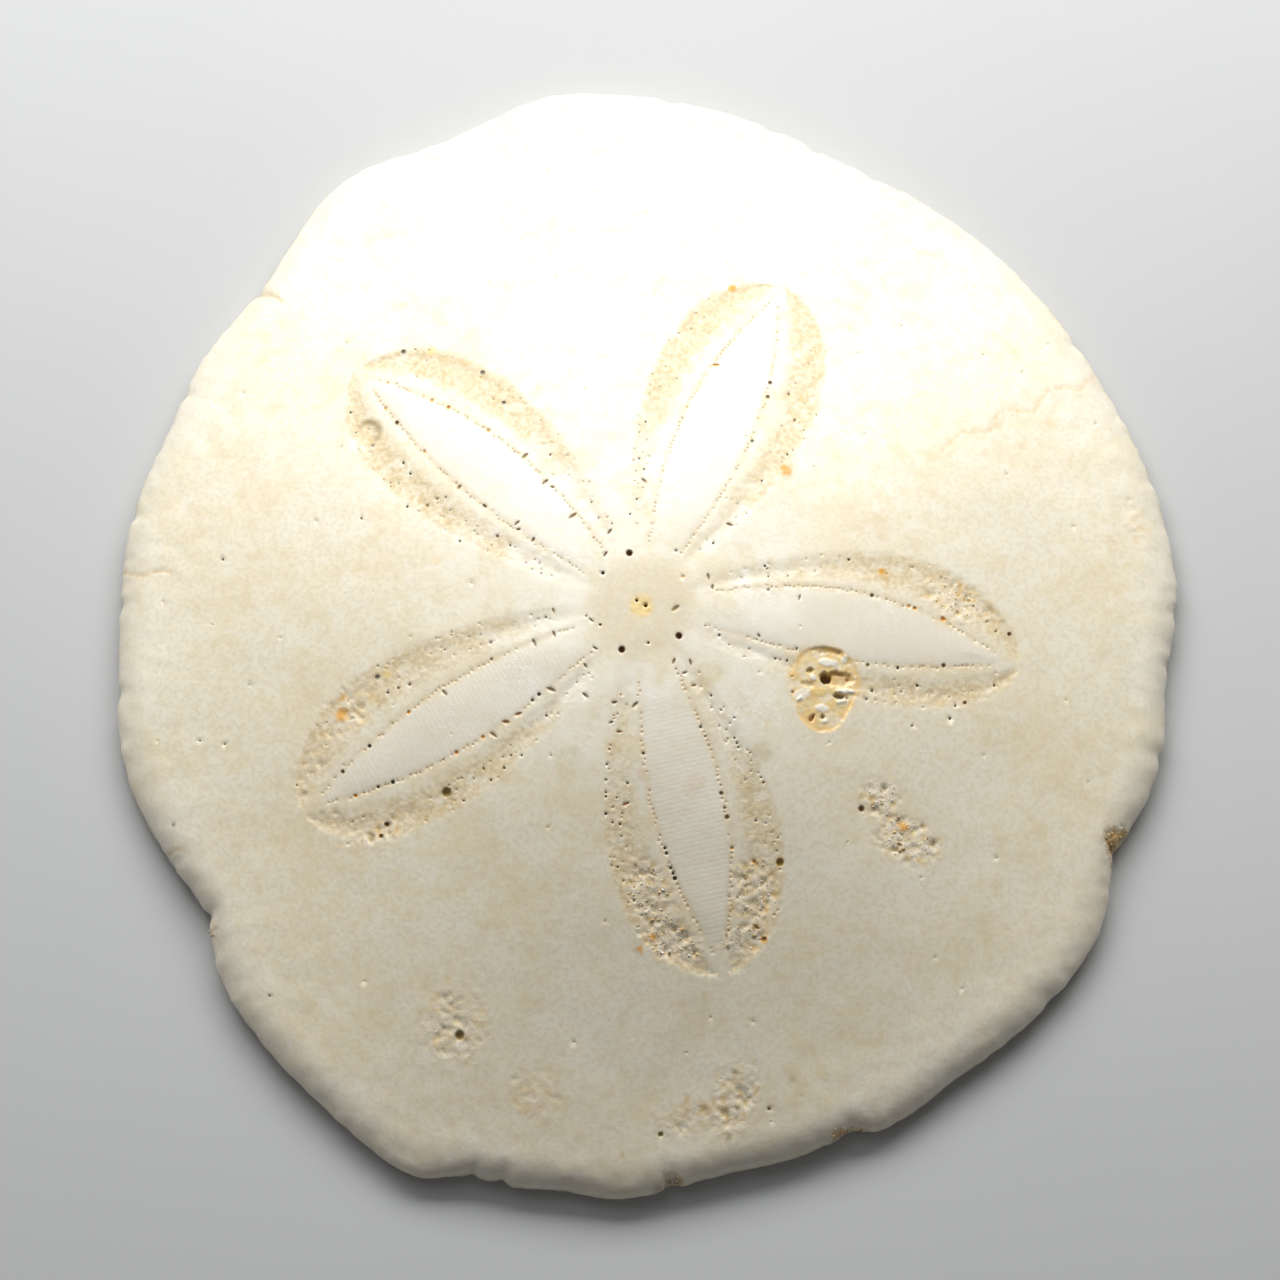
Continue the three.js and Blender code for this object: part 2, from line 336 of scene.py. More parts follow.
COLOURED_PORES = (
    (OLIVE, ((-26.2, 14.0, 0.2), (27.6, -6.3, 0.22), (43.6, -0.9, 0.16), (10.4, -25.3, 0.28),
             (18.3, 28.6, 0.2), (-21.9, -50.6, 0.55), (2.4, -62.3, 0.32), (-23.5, -21.9, 0.55),
             (16.8, -30.4, 0.45), (14.9, -39.4, 0.3), (13.9, -38.0, 0.26), (19.0, 25.0, 0.2))),
    (BROWN, ((9.7, -22.5, 0.24), (10.1, -24.2, 0.17), (-36.3, -18.7, 0.24), (-28.1, -8.6, 0.19),
             (-30.9, -25.3, 0.28), (-31.5, -26.7, 0.25), (-30.2, 25.4, 0.25), (-17.5, 9.4, 0.2),
             (16.0, 30.0, 0.24), (15.7, 28.0, 0.24), (28.2, 2.4, 0.24), (37.0, -5.7, 0.26),
             (39.6, -10.1, 0.22), (45.3, -1.1, 0.24), (7.8, -15.8, 0.14), (-4.2, -21.0, 0.15),
             (14.8, -21.1, 0.16), (-18.1, -6.1, 0.17), (26.7, -23.7, 0.35), (31.4, -27.8, 0.3),
             (15.5, -59.2, 0.2))),
    (ORANGE, ((-28.2, -12.0, 0.22), (-22.3, -17.2, 0.26), (-34.7, -21.7, 0.22),
              (-19.1, -15.5, 0.22), (11.0, -28.9, 0.2), (13.7, -30.4, 0.22), (32.8, 1.4, 0.2),
              (33.5, 1.2, 0.22), (37.0, 0.1, 0.3), (-23.8, 27.0, 0.22), (-25.9, 28.1, 0.2),
              (-31.7, 27.5, 0.18), (-26.7, 21.2, 0.18), (-18.8, 23.5, 0.2))),
    (SLATE, ((-32.1, -7.4, 0.3), (-18.2, -4.0, 0.2), (-29.6, 35.1, 0.3), (-19.6, 31.5, 0.3),
             (-33.2, 22.6, 0.2), (-16.9, 27.2, 0.25), (13.7, 21.8, 0.22), (4.3, 7.0, 0.2),
             (27.4, -10.5, 0.2), (15.5, 2.4, 0.2))),
)

# Soft stains with no relief, and two painted highlights on the lower lips of pits: x, y, radius, colour
# and strength.
STAINS_AND_LIP_HIGHLIGHTS = (
    (11.4, 43.3, 0.55, ORANGE, 0.95), (17.9, 18.1, 0.8, ORANGE, 0.8), (29.5, 5.6, 0.5, ORANGE, 1),
    (29.9, 4.9, 0.8, OCHRE, 0.45), (-36.6, -11.8, 0.95, ORANGE, 0.75), (-36.4, -9.7, 0.4, ORANGE, 0.8),
    (-30.9, -7.2, 0.55, YELLOW, 0.9), (-26.0, 35.1, 0.8, YELLOW, 0.7), (1.4, -39.3, 0.6, ORANGE, 0.9),
    (-0.1, -40.8, 0.5, ORANGE, 0.8), (14.9, -39.4, 0.55, ORANGE, 0.8), (13.9, -38.0, 0.5, OCHRE, 0.8),
    (16.8, -30.4, 0.7, OCHRE, 0.75), (31.8, -25.6, 0.75, ORANGE, 0.85), (32.4, -29.2, 0.5, TAN, 0.9),
    (19.7, 28.0, 0.5, YELLOW, 0.7), (14.9, 14.9, 0.6, BLUSH, 0.5), (-25.0, 6.8, 0.8, YELLOW, 0.4),
    (0.0, -20.3, 0.8, BLUSH, 0.25), (6.3, -21.5, 1.6, TAN, 0.25), (-23.5, -21.9, 1.2, OLIVE, 0.35),
    (12.6, -22.0, 1.5, KHAKI, 0.4), (-17.3, -19.9, 2.4, TAN, 0.2), (14.4, -17.5, 1.6, KHAKI, 0.4),
    (12.1, -57.5, 0.35, ORANGE, 0.8), (11.3, -54.9, 0.35, OLIVE, 0.7), (11.7, -59.1, 0.4, OLIVE, 0.7),
    (7.8, -59.5, 0.9, OCHRE, 0.5), (5.5, -58.0, 0.5, OCHRE, 0.4), (10.6, -62.6, 0.5, OLIVE, 0.5),
    (-2.4, -64.7, 0.5, OCHRE, 0.4), (18.3, -55.6, 0.45, OLIVE, 0.4), (19.3, -57.5, 0.5, OCHRE, 0.5),
    # The two chalk spots below are painted highlights on the lit lower lips of two pits.
    (2.4, -63.4, 0.5, CHALK, 0.8), (-21.9, -51.7, 0.6, CHALK, 0.7),
)

# Worn patches where the polished skin is gone and broken crystals show: middle, half sizes,
# turn in degrees and strength.
ROUGH = (
    (1.2, -34.5, 3.4, 5.0, 20, 0.85), (3.6, -39.5, 4.6, 3.0, -25, 1.0), (13.6, -34.0, 3.4, 4.8, 0, 0.8),
    (12.4, -39.4, 3.4, 2.5, 30, 0.85), (-36.0, -11.5, 5.2, 3.0, 45, 0.7),
    (-40.3, -18.0, 2.2, 4.0, -10, 0.5), (-31.5, -25.8, 5.6, 2.1, 18, 0.7),
    (-37.5, -24.6, 2.6, 1.7, -10, 0.5), (39.2, 2.2, 5.4, 2.9, -30, 0.85),
    (34.5, -9.9, 5.6, 1.5, -4, 0.5), (8.4, 38.8, 3.0, 4.4, -35, 0.35), (19.3, 28.4, 1.5, 4.2, 0, 0.35),
    (17.9, 18.2, 1.5, 1.7, 0, 0.4), (-22.5, 31.9, 4.0, 1.8, -20, 0.35),
    (-33.9, 24.4, 2.2, 2.3, 0, 0.3), (29.2, -22.4, 2.8, 3.0, -30, 0.85),
    (32.2, -27.2, 5.0, 3.2, -28, 0.95), (11.5, -57.8, 3.4, 5.4, -10, 0.7),
    (6.5, -60.3, 5.4, 2.4, 8, 0.5), (-13.0, -57.5, 3.5, 3.4, 0, 0.33), (-22.5, -49.3, 5.0, 5.6, 0, 0.5),
    (62.0, 14.4, 1.6, 4.4, 15, 0.25),
    (58.6, -26.3, 2.4, 3.0, 0, 1.0), (-52.6, -37.0, 1.0, 1.8, 20, 0.8),
    (24.8, -62.4, 3.2, 1.3, 20, 0.9), (4.0, -67.6, 1.4, 0.9, 0, 0.7), (0.0, -0.1, 1.6, 1.5, 0, 0.5),
)

# Fine polishing scratches, painted as bright strokes that stand in for their glints (painted highlights):
# middle, radius and strength.
SCUFF_GLINTS = (
    (-9.0, 7.5, 4.0, 1.0), (-12.5, 12.0, 4.5, 0.8), (3.8, 14.5, 3.6, 1.0), (14.0, 2.0, 6.0, 0.6),
    (-14.0, -8.0, 4.0, 0.9), (-22.0, -14.0, 5.0, 0.45), (2.5, -10.5, 2.6, 1.0),
    (13.5, -12.0, 5.0, 0.8), (29.5, -0.5, 3.0, 0.7), (-2.0, 0.0, 7.0, 0.15), (6.5, -24.0, 6.0, 0.4),
    (-6.0, -16.0, 3.0, 0.6), (16.0, 8.0, 4.0, 0.4),
)

# Cracks and plate seams as open lines, with their half width and depth.
CRACKS = (
    (((57.4, 34.4), (56.2, 32.9), (55.4, 31.8), (53.0, 31.9), (51.2, 31.5), (50.1, 30.1),
      (49.3, 28.4), (45.6, 28.4), (44.6, 27.8), (43.5, 25.2), (39.9, 24.9), (37.3, 22.0)), 0.12, 0.05),
    (((-49.0, 45.2), (-47.9, 44.6), (-46.3, 44.1), (-45.1, 43.1)), 0.14, 0.2),
    (((-66.0, 8.9), (-64.5, 8.5), (-62.3, 7.6), (-60.0, 8.1), (-58.3, 7.8)), 0.13, 0.1),
    (((-59.6, -27.6), (-58.0, -27.3), (-56.4, -26.9)), 0.13, 0.1),
)

# The scar of an old boring: two round lobes, filled with broken crust.
SCAR_LOBES = ((22.2, -8.6, 4.45), (21.9, -11.7, 3.1))
SCAR_MELT = 0.35           # how softly the two lobes run into each other
SCAR_FLOOR = 0.14          # depth of its floor
SCAR_RIDGE_SHARE = 0.5     # how much of their listed height the ridges get
SCAR_HOLES_AND_SHADE = (
    Pore(23.9, -8.2, 0.9, 2.3, 0, 0.35, OCHRE, 0.6), Pore(22.4, -8.15, 0.6, 0.3, 0, 1.2, BROWN, 0.85),
    # Painted shadow: the rust strip at (23.6, -7.6) lies under the top edge of the main cavity.
    Pore(23.6, -7.6, 0.25, 1.4, 0, 0.1, RUST, 0.5), Pore(24.05, -10.3, 0.36, 0.7, -8, 0.5, UMBER, 0.8),
    hole(25.0, -10.5, 0.17, BROWN, 0.3, 0.8), hole(25.1, -8.2, 0.2, RUST, 0.2, 0.7),
    Pore(20.5, -7.35, 0.27, 0.6, 8, 0.35, OLIVE, 0.7), Pore(20.1, -8.95, 0.33, 0.9, -5, 0.15, KHAKI, 0.7),
    hole(18.4, -10.1, 0.15, INK, 0.3, 0.9), hole(18.35, -8.2, 0.11, INK, 0.2, 0.7),
    Pore(20.7, -13.1, 0.26, 0.5, 50, 0.45, RUST, 0.9), hole(22.0, -12.95, 0.25, OLIVE, 0.4, 0.9),
    # Painted shade: the ochre strip at (22.8, -4.8) covers the scar's shaded top wall.
    Pore(22.8, -4.8, 0.4, 3.4, -4, 0.03, OCHRE, 0.7), Pore(22.2, -5.0, 0.22, 1.0, 10, 0.1, KHAKI, 0.7),
    hole(24.0, -5.1, 0.35, TAN, 0.1, 0.8),
)
SCAR_RIDGES = (
    Pore(22.7, -6.3, 0.45, 1.8, -2, 0.22, CHALK, 1.0), Pore(24.8, -9.65, 0.3, 1.9, 2, 0.4, CHALK, 1.0),
    Pore(24.3, -10.95, 0.25, 0.7, 15, 0.3, CHALK, 0.9), hole(24.7, -5.8, 0.45, CHALK, 0.25, 0.9),
    hole(20.9, -8.15, 0.4, CHALK, 0.25, 0.95), Pore(19.6, -10.3, 0.7, 0.9, 30, 0.12, CHALK, 0.8),
    Pore(21.6, -9.9, 0.5, 1.5, 5, 0.1, YELLOW, 0.8), Pore(19.1, -10.9, 0.16, 0.9, 45, 0.25, CHALK, 0.9),
    Pore(22.0, -11.85, 0.45, 0.8, -8, 0.15, CHALK, 0.95),
    Pore(22.25, -13.45, 0.2, 0.5, 10, 0.2, CHALK, 0.9),
    hole(26.1, -7.9, 0.2, CHALK, 0.15, 0.8),
)


def petal_frame(petal, x, y):
    angle = math.radians(petal.angle)
    return x * math.cos(angle) + y * math.sin(angle), y * math.cos(angle) - x * math.sin(angle)


def half_widths(petal, along, is_left):
    outer = swell(along / petal.length, PETAL_SKEW, PETAL_POWER)
    core = swell(along / (petal.length * CORE_LENGTH), CORE_SKEW, CORE_POWER)
    return (outer * np.where(is_left, petal.left, petal.right),
            core * np.where(is_left, petal.core_left, petal.core_right))


def petal_point(petal, along, across):
    angle = math.radians(petal.angle)
    return (along * math.cos(angle) - across * math.sin(angle),
            along * math.sin(angle) + across * math.cos(angle))


ROW_PITCH = 0.54           # from one pore of an inner row to the next
ROW_START = 8.0
ROW_GAPS = 0.3             # share of these pores that are worn away or filled flush
SCATTER_PER_BAND = 30      # fine pores strewn over the outer part of each band
SPECK_COUNT = 70
SPECK_REACH = 64


def row_pores(rng):
    """The two inner rows of each petal: fine, evenly spaced and mostly filled with sediment."""
    pores = []
    for petal in PETALS:
        end = petal.length * CORE_LENGTH * 0.97
        for is_left in (True, False):
            for along in np.arange(ROW_START, end, ROW_PITCH):
                along += rng.normal(0, 0.06)
                _, core = half_widths(petal, along, is_left)
                across = (core + rng.normal(0.05, 0.09)) * (1 if is_left else -1)
                x, y = petal_point(petal, along, across)
                colour = (OCHRE, TAN, RUST, OLIVE)[rng.choice(4, p=(0.5, 0.25, 0.17, 0.08))]
                radius = rng.uniform(0.08, 0.14)
                if rng.random() > ROW_GAPS:
                    pores.append(hole(x, y, radius, colour, radius * 0.7, rng.uniform(0.3, 0.75)))
    return pores


def scattered_pores(rng):
    """The outer pores of each band, mostly near its outer edge."""
    pores = []
    for petal in PETALS:
        for is_left in (True, False):
            for _ in range(SCATTER_PER_BAND):
                along = rng.uniform(9, petal.length * 0.93)
                outer, core = half_widths(petal, along, is_left)
                share = 1 - 0.55 * rng.uniform(0.08, 1) ** 1.4
                across = (core + (outer - core) * share) * (1 if is_left else -1)
                x, y = petal_point(petal, along, across)
                colour = (INK, SLATE, RUST, OCHRE)[rng.choice(4, p=(0.1, 0.25, 0.25, 0.4))]
                radius = rng.uniform(0.07, 0.12)
                pores.append(hole(x, y, radius, colour, radius, rng.uniform(0.4, 0.8)))
    return pores


def body_specks(rng):
    """A few pin holes in the smooth skin between the petals and the rim."""
    pores = []
    for _ in range(SPECK_COUNT):
        angle, reach = rng.uniform(0, 2 * math.pi), SPECK_REACH * math.sqrt(rng.uniform(0.05, 1))
        x, y = reach * math.cos(angle), reach * math.sin(angle)
        colour = (SLATE, OCHRE, OLIVE)[rng.choice(3, p=(0.3, 0.4, 0.3))]
        pores.append(hole(x, y, rng.uniform(0.08, 0.12), colour, 0.08, rng.uniform(0.2, 0.5)))
    return pores


def listed_pores():
    pores = [hole(x, y, radius * 0.85, strength=0.9) for x, y, radius in DARK_PORES]
    for colour, spots in COLOURED_PORES:
        pores += [hole(x, y, radius, colour, radius, 0.85) for x, y, radius in spots]
    return pores


def to_lip(pore, x, y):
    """0 in the middle of a pore and 1 on its lip."""
    half_length = pore.radius + pore.length / 2
    return ellipse_share(x, y, pore.x, pore.y, half_length, pore.radius, pore.turn)


def without_crowding(pores):
    """Drops a pore that would run into an earlier one. Listed pores come first."""
    kept = []
    centres = np.empty((0, 3))
    for pore in pores:
        reach = pore.radius * 1.3 + pore.length / 2
        if len(centres):
            gap = np.hypot(centres[:, 0] - pore.x, centres[:, 1] - pore.y) - centres[:, 2] - reach
            if gap.min() < 0.03:
                continue
        kept.append(pore)
        centres = np.vstack([centres, (pore.x, pore.y, reach)])
    return kept


def all_pores():
    rng = np.random.default_rng(SEED)
    pores = list(APICAL_PORES) + list(SLITS) + listed_pores()
    pores += row_pores(rng) + scattered_pores(rng) + body_specks(rng)
    outside_scar = [p for p in pores if scar_share(np.array([p.x]), np.array([p.y]))[0] > 1.06]
    return without_crowding(outside_scar)


def scar_share(x, y):
    """Below 1 inside the scar, 1 on its edge, and above 1 outside it."""
    first, second = (np.hypot(x - cx, y - cy) / radius for cx, cy, radius in SCAR_LOBES)
    overlap = np.clip(1 - np.abs(first - second) / SCAR_MELT, 0, 1)
    return np.minimum(first, second) - SCAR_MELT / 4 * overlap ** 2


def ellipse_share(x, y, cx, cy, half_x, half_y, turn):
    angle = math.radians(turn)
    along = (x - cx) * math.cos(angle) + (y - cy) * math.sin(angle)
    across = (y - cy) * math.cos(angle) - (x - cx) * math.sin(angle)
    return np.hypot(along / half_x, across / half_y)


def to_line(points, x, y):
    """Distance from an open line through the given points."""
    nearest = np.full(len(x), np.inf)
    for (ax, ay), (bx, by) in zip(points, points[1:]):
        dx, dy = bx - ax, by - ay
        t = np.clip(((x - ax) * dx + (y - ay) * dy) / (dx * dx + dy * dy), 0, 1)
        nearest = np.minimum(nearest, np.hypot(x - ax - t * dx, y - ay - t * dy))
    return nearest


# ---- Laying out the points ----


def lattice(step, reach, rng):
    """A slightly uneven triangular grid over a square of the given half size."""
    row_step = step * math.sqrt(3) / 2
    rows = np.arange(-reach, reach, row_step)
    columns = np.arange(-reach, reach, step)
    x, y = np.meshgrid(columns, rows)
    x = x + np.where(np.arange(len(rows)) % 2, step / 2, 0)[:, None]
    x, y = x.ravel(), y.ravel()
    wobble = rng.normal(0, step * 0.1, (2, len(x)))
    return x + wobble[0], y + wobble[1]


def needs_fine_points(x, y):
    """True in and just round the petals, the worn patches and the apex."""
    fine = np.hypot(x, y) < 8
    for petal in PETALS:
        along, across = petal_frame(petal, x, y)
        outer, _ = half_widths(petal, along, across > 0)
        inside = (along > 3) & (along < petal.length + 0.6)
        fine |= inside & (np.abs(across) < outer + 0.6)
    for cx, cy, half_x, half_y, turn, _ in ROUGH:
        fine |= ellipse_share(x, y, cx, cy, half_x, half_y, turn) < 1.15
    for points, _, _ in CRACKS:
        fine |= to_line(points, x, y) < 0.5
    return fine


def clear_of_petal_edges(x, y):
    """False close to a petal's edge, where the extra rows lie."""
    clear = np.ones(len(x), bool)
    for petal in PETALS:
        along, across = petal_frame(petal, x, y)
        outer, _ = half_widths(petal, along, across > 0)
        inside = (along > PETAL_START) & (along < petal.length)
        clear &= ~(inside & (np.abs(np.abs(across) - outer) < STEP_PETAL * 0.85))
    return clear


def petal_edge_rows():
    """Two rows of points along each petal's edge, so that its small step is clean."""
    rows = []
    for petal in PETALS:
        t = np.linspace(0, 1, EDGE_ROW_POINTS)
        along = petal.length * (1 - (1 - t) ** 1.5 * (1 - PETAL_START / petal.length))
        for is_left in (True, False):
            outer, _ = half_widths(petal, along, is_left)
            for offset in EDGE_ROW_OFFSETS:
                across = np.maximum(outer + offset, 0.05) * (1 if is_left else -1)
                rows.append(np.stack(petal_point(petal, along, across)))
    return np.hstack(rows)


def pore_rings(pore):
    """Closed rows of points round a pore, from its lip down to its floor, and its middle."""
    is_large = pore.radius > 0.2 or pore.length > 0
    shares = (1.35, 1.08, 0.8, 0.4) if is_large else (1.35, 0.85)
    count = 16 if is_large else 8
    turn = math.radians(pore.turn)
    xs, ys = [pore.x], [pore.y]
    for ring, share in enumerate(shares):
        for k in range(count):
            angle = 2 * math.pi * (k + 0.5 * (ring % 2)) / count
            along = share * (pore.radius + pore.length / 2) * math.cos(angle)
            across = share * pore.radius * math.sin(angle)
            xs.append(pore.x + along * math.cos(turn) - across * math.sin(turn))
            ys.append(pore.y + along * math.sin(turn) + across * math.cos(turn))
    return np.array([xs, ys])


def thin_out(x, y, gap):
    """Keeps only points that are at least about `gap` from every point kept before them."""
    cells = {}
    keep = []
    for i, (a, b) in enumerate(zip(x.tolist(), y.tolist())):
        column, row = int(a // gap), int(b // gap)
        near = (cells.get((column + dx, row + dy)) for dx in (-1, 0, 1) for dy in (-1, 0, 1))
        if any(p and (p[0] - a) ** 2 + (p[1] - b) ** 2 < gap * gap for p in near):
            continue
        cells[column, row] = (a, b)
        keep.append(i)
    return x[keep], y[keep]


def rounding_start(angle, rounding):
    """Where the rounding starts: on a smoother line than the rim, so bites fade inwards."""
    return along_curve(NEAR_RADII, angle) - rounding


def unrolled_edge(angle, rounding, arc):
    """Where the rim lies on the flat disc, on which the rounding is laid out straight."""
    start = rounding_start(angle, rounding)
    return start + (edge_radius(angle) - start) * arc / rounding


def inside_edge(x, y, rounding, arc, margin):
    return np.hypot(x, y) < unrolled_edge(np.arctan2(y, x), rounding, arc) - margin


def joined(*parts):
    """Joins grids into one row of x and one of y. Each comes with a mask of what it keeps."""
    return np.hstack([np.stack(grid)[:, mask] for grid, mask in parts])


def off_scar(grid):
    return scar_share(*grid) > SCAR_CLEAR


def inner_part(grid):
    """True further in from the rim than the closer spacing there reaches."""
    return inside_edge(*grid, RIM_ROUND_TOP, RIM_ARC_TOP, EDGE_WIDTH)


def back_points(pores):
    rng = np.random.default_rng(SEED + 1)
    wide = lattice(STEP_BACK, GRID_HALF, rng)
    edge = lattice(STEP_EDGE, GRID_HALF, rng)
    fine = lattice(STEP_PETAL, GRID_HALF, rng)
    scar = lattice(STEP_SCAR, SCAR_GRID_HALF, rng)
    rows = petal_edge_rows()
    x, y = joined(
        (wide, inner_part(wide) & ~needs_fine_points(*wide) & off_scar(wide)),
        (edge, ~inner_part(edge) & ~needs_fine_points(*edge) & off_scar(edge)),
        (fine, needs_fine_points(*fine) & clear_of_petal_edges(*fine) & off_scar(fine)),
        (scar, scar_share(*scar) < SCAR_ZONE),
        (rows, off_scar(rows)))
    for pore in pores:
        clear = to_lip(pore, x, y) > 1.3 + 0.11 / pore.radius
        x, y = x[clear], y[clear]
    rings = [pore_rings(pore) for pore in pores]
    x, y = thin_out(*np.hstack([*rings, np.stack([x, y])]), POINT_GAP)
    inside = inside_edge(x, y, RIM_ROUND_TOP, RIM_ARC_TOP, STEP_RIM * 0.6)
    return x[inside], y[inside]


def at_opening(x, y):
    """True at the mouth and at the vent."""
    return (np.hypot(x, y) <= MOUTH_ZONE) | (vent_share(x, y) <= VENT_ZONE)


def under_points():
    rng = np.random.default_rng(SEED + 2)
    wide = lattice(STEP_UNDER, GRID_HALF, rng)
    fine = lattice(STEP_MOUTH, UNDER_GRID_HALF, rng)
    groove = lattice(STEP_GROOVE, UNDER_GRID_HALF, rng)
    x, y = joined(
        (wide, ~at_opening(*wide) & (distance_to_groove(*wide) > GROOVE_ZONE)),
        (fine, at_opening(*fine)),
        (groove, (distance_to_groove(*groove) <= GROOVE_ZONE) & (np.hypot(*groove) > MOUTH_ZONE)))
    inside = inside_edge(x, y, RIM_ROUND_UNDER, RIM_ARC_UNDER, STEP_RIM * 0.8)
    return x[inside], y[inside]


# ---- Height of the back and the under side ----


def dome_height(x, y):
    share = np.clip(np.hypot(x, y) / along_curve(SOFT_RADII, np.arctan2(y, x)), 0, 1)
    mixed = ((1 - DOME_BELL_SHARE) * (1 - share ** 2)
             + DOME_BELL_SHARE * (0.5 + 0.5 * np.cos(math.pi * share)))
    return RIM_SHOULDER + (APEX[2] - RIM_SHOULDER) * mixed


def roll_in(x, y, rounding, arc):
    """Takes flat disc points to the real plan view. Returns x, y and the roll angle."""
    angle, flat_reach = np.arctan2(y, x), np.hypot(x, y)
    start = rounding_start(angle, rounding)
    width = edge_radius(angle) - start
    roll = np.clip((flat_reach - start) / (width * arc / rounding), 0, 1) * math.pi / 2
    reach = np.where(flat_reach > start, start + width * np.sin(roll), flat_reach)
    return reach * np.cos(angle), reach * np.sin(angle), roll


def vent_share(x, y):
    angle = math.radians(VENT_ANGLE)
    return np.hypot(x - VENT_RADIUS * math.cos(angle), y - VENT_RADIUS * math.sin(angle)) / VENT_SIZE


def distance_to_groove(x, y):
    nearest = np.full(len(x), 99.0)
    for petal in PETALS:
        along, across = petal_frame(petal, x, y)
        wander = 0.5 * np.sin(along / 6 + petal.angle)
        on_line = (along > GROOVE_START) & (along < GROOVE_END)
        nearest = np.where(on_line, np.minimum(nearest, np.abs(across - wander)), nearest)
    return nearest


def under_height(x, y, roll):
    reach = np.hypot(x, y)
    height = UNDER_HOLLOW * (1 - smooth(0, UNDER_FLAT_INNER, reach))
    mouth = reach / MOUTH_RADIUS * (1 - 0.08 * np.cos(5 * np.arctan2(y, x) - math.radians(340)))
    height += MOUTH_DEPTH * (1 - smooth(0.75, 1.25, mouth))
    height += VENT_DEPTH * (1 - smooth(0.7, 1.2, vent_share(x, y)))
    fade = 1 - smooth(GROOVE_END - 14, GROOVE_END, reach)
    height += GROOVE_DEPTH * fade * (1 - smooth(0.2, GROOVE_HALF_WIDTH, distance_to_groove(x, y)))
    worn = 0.07 * (1 + field(x, y, 3.0, 21)) * smooth(MOUTH_RADIUS, UNDER_FLAT_INNER, reach)
    height += worn * (1 - smooth(UNDER_FLAT_INNER - 2, UNDER_FLAT_INNER + 2, reach))
    return RIM_EQUATOR + (height - RIM_EQUATOR) * np.cos(roll)


class Skin:
    """Points of the back with their relief and the masks that the material reads."""

    def __init__(self, x, y):
        self.x, self.y = x, y
        self.relief, self.band, self.core, self.rough, self.scuff, self.along = np.zeros((6, len(x)))
        self.cloud = field(x, y, 9, 26, 4)
        self.paint = np.zeros((len(x), 4))

    def colour(self, mask, colour):
        """Lays a colour over what is there, as thickly as the mask says."""
        mask = np.clip(mask, 0, 1)[:, None]
        amount = self.paint[:, 3:]
        total = mask + amount * (1 - mask)
        mixed = np.array(colour) * mask + self.paint[:, :3] * amount * (1 - mask)
        self.paint[:, :3] = np.where(total > 0, mixed / np.maximum(total, 1e-6), colour)
        self.paint[:, 3:] = total


BAND_DEPTH = 0.2
CORE_RISE = 0.13
ROW_GROOVE = 0.03
EDGE_STEP = 0.03


def add_petal(skin, petal, ragged, grain):
    """Sinks the band of one petal, lifts its core, sets the masks of both, and paints shade along the
    inner rows and the band's outer edge.
    """
    along, across = petal_frame(petal, skin.x, skin.y)
    near = (along > PETAL_START - 2) & (along < petal.length + 1) & (np.abs(across) < 13)
    outer, core = half_widths(petal, along, across > 0)
    distance = np.abs(across)
    open_end = 1 - smooth(0.86, 0.97, along / petal.length)
    present = smooth(PETAL_START - 1, PETAL_FULL, along) * near
    share = np.clip((distance - core + 0.6 * ragged) / np.maximum(outer - core, 0.4), 0, 2)
    is_core = (1 - smooth(-0.7, 0.1, distance - core + 0.5 * ragged)) * near * (core > 0.15)
    past_edge = distance - outer
    band = smooth(0.12, 0.5, share) * (1 - smooth(-0.8, 0.25, past_edge + 0.7 * ragged)) * near
    band *= 1 - is_core
    dome = 1 - np.clip(distance / np.maximum(core, 0.3), 0, 1) ** 2
    skin.relief += present * CORE_RISE * dome * smooth(0.2, 2.5, core)
    skin.relief -= present * open_end * ROW_GROOVE * bump(distance - core - 0.05, 0.4)
    sunk = smooth(0.1, 0.6, share) * (1 - smooth(-1.7, 0.2, past_edge))
    skin.relief -= present * BAND_DEPTH * sunk
    skin.relief -= present * open_end * EDGE_STEP * bump(past_edge + 0.3, 0.3)
    skin.relief += present * 0.05 * grain * band
    skin.band = np.maximum(skin.band, band * smooth(7, 26, along) ** 0.6)
    skin.core = np.maximum(skin.core, is_core * smooth(7, 14, along))
    skin.along = np.where(near & (distance < outer), along, skin.along)
    # Painted shade: a soft tan strip along each inner row, where the row's groove lies in shade.
    row_painted_shade = open_end * bump(distance - core - 0.1, 0.5) * np.clip(0.75 + 0.8 * grain, 0, 1)
    skin.colour(0.32 * present * row_painted_shade, TAN)
    # Painted shade: a tan line inside the band's outer edge, at the foot of its small step.
    edge_painted_shade = bump(past_edge + 0.6, 0.6) * np.clip(0.2 + ragged + 0.7 * grain, 0, 1)
    skin.colour(0.35 * present * open_end * edge_painted_shade, TAN)


def add_petals(skin):
    x, y = skin.x, skin.y
    ragged = 0.5 * field(x, y, 3.2, 1) + 0.35 * field(x, y, 1.1, 2, 2)
    grain = field(x, y, 0.95, 3)
    for petal in PETALS:
        add_petal(skin, petal, ragged, grain)


